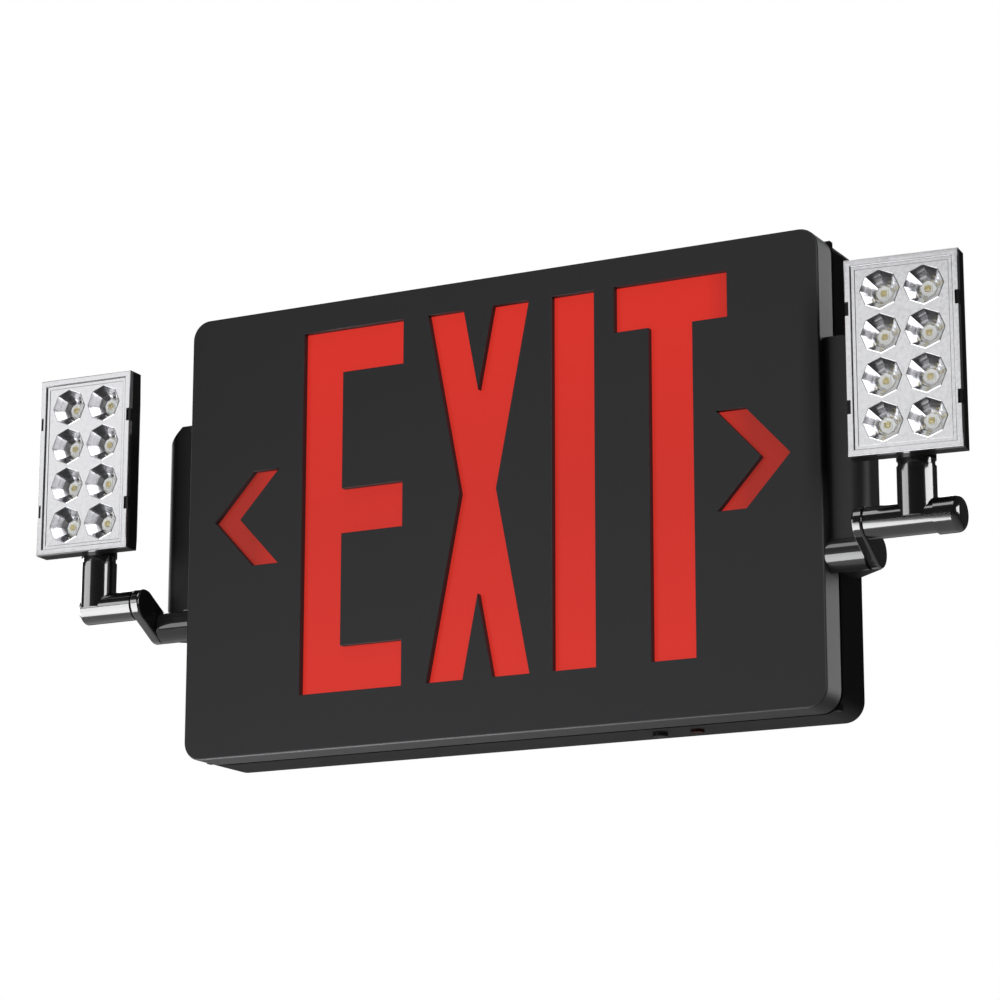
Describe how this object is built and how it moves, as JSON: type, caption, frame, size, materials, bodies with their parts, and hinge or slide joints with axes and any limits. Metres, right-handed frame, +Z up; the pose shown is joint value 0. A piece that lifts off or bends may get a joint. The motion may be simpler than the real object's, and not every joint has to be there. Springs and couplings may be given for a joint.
{
  "type": "emergency exit light with two adjustable lamp heads",
  "caption": "Black wall-mounted exit sign with a red lit stencil face and a lamp head on a jointed arm at each side; arms swing, heads tilt and pan, the test button presses.",
  "frame": {"origin": "middle of the four wall holes, in the back face that lies on the wall", "axes": "+X to the viewer's right along the sign, +Z up, the sign faces -Y and the wall is the plane Y = 0"},
  "size_m": [0.4103, 0.0611, 0.1895],
  "materials": {
    "housing_black": "fine moulded texture",
    "head_black": "satin",
    "arm_black": "polished",
    "diffuser_red": "satin, translucent",
    "tray_white": "matt",
    "circuit_board": "solder mask",
    "board_aluminium": "white solder mask",
    "sign_led": "moulded",
    "head_led": "moulded",
    "component_black": "moulded",
    "component_green": "moulded",
    "button_grey": "satin",
    "lens_red": "clear",
    "battery_wrap": "shrink wrap",
    "zinc_steel": "zinc plated",
    "core_steel": "varnished laminations",
    "coil_tape": "tape",
    "brass_nut": "turned",
    "reflector_silver": "vacuum metallised"
  },
  "bodies": {
    "housing": {"back_box": "housing_black", "battery_pack": "battery_wrap", "battery_strap": "zinc_steel", "capacitors": "component_black", "case_screws": "zinc_steel", "charger_board": "circuit_board", "core_screws": "zinc_steel", "front_cover": "housing_black", "inner_screws": "zinc_steel", "led_strip_lower": "circuit_board", "led_strip_upper": "circuit_board", "light_tray": "tray_white", "red_diffuser": "diffuser_red", "relay": "component_black", "side_pod_left": "housing_black", "side_pod_right": "housing_black", "sign_leds": "sign_led", "status_led": "sign_led", "status_lens": "lens_red", "terminal_block": "component_green", "test_switch": "component_black", "transformer_coil": "coil_tape", "transformer_core": "core_steel"},
    "left_link": {"swing_link_left": "arm_black", "pivot_washers_left": "zinc_steel", "pivot_nuts_left": "brass_nut"},
    "left_tee": {"tilt_tee_left": "arm_black", "pan_screw_left": "zinc_steel", "end_cap_left": "arm_black"},
    "left_head": {"pan_post_left": "arm_black", "post_nut_left": "brass_nut", "head_housing_left": "head_black", "reflector_panel_left": "reflector_silver", "led_plate_left": "board_aluminium", "head_leds_left": "head_led"},
    "right_link": {"swing_link_right": "arm_black", "pivot_washers_right": "zinc_steel", "pivot_nuts_right": "brass_nut"},
    "right_tee": {"tilt_tee_right": "arm_black", "pan_screw_right": "zinc_steel", "end_cap_right": "arm_black"},
    "right_head": {"pan_post_right": "arm_black", "post_nut_right": "brass_nut", "head_housing_right": "head_black", "reflector_panel_right": "reflector_silver", "led_plate_right": "board_aluminium", "head_leds_right": "head_led"},
    "button": {"test_button": "button_grey"}
  },
  "joints": [
    {"name": "left_arm_swing", "type": "hinge", "parent": "housing", "child": "left_link", "pos_m": [-0.1503, -0.031, -0.0355], "axis": [1, 0, 0], "range_deg": [0, 75]},
    {"name": "left_head_tilt", "type": "hinge", "parent": "left_link", "child": "left_tee", "pos_m": [-0.177, -0.0444, -0.0275], "axis": [1, 0, 0], "range_deg": [-10, 90]},
    {"name": "left_head_pan", "type": "hinge", "parent": "left_tee", "child": "left_head", "pos_m": [-0.1827, -0.0444, -0.008], "axis": [0, 0, 1], "range_deg": [-90, 90]},
    {"name": "right_arm_swing", "type": "hinge", "parent": "housing", "child": "right_link", "pos_m": [0.1503, -0.031, -0.0355], "axis": [1, 0, 0], "range_deg": [0, 75]},
    {"name": "right_head_tilt", "type": "hinge", "parent": "right_link", "child": "right_tee", "pos_m": [0.177, -0.0444, -0.0275], "axis": [1, 0, 0], "range_deg": [-10, 90]},
    {"name": "right_head_pan", "type": "hinge", "parent": "right_tee", "child": "right_head", "pos_m": [0.1827, -0.0444, -0.008], "axis": [0, 0, 1], "range_deg": [-90, 90]},
    {"name": "test_button_press", "type": "slide", "parent": "housing", "child": "button", "axis": [0, 0, 1], "range_m": [0, 0.001], "stiffness_N_per_m": 500, "springref_m": -0.002}
  ]
}
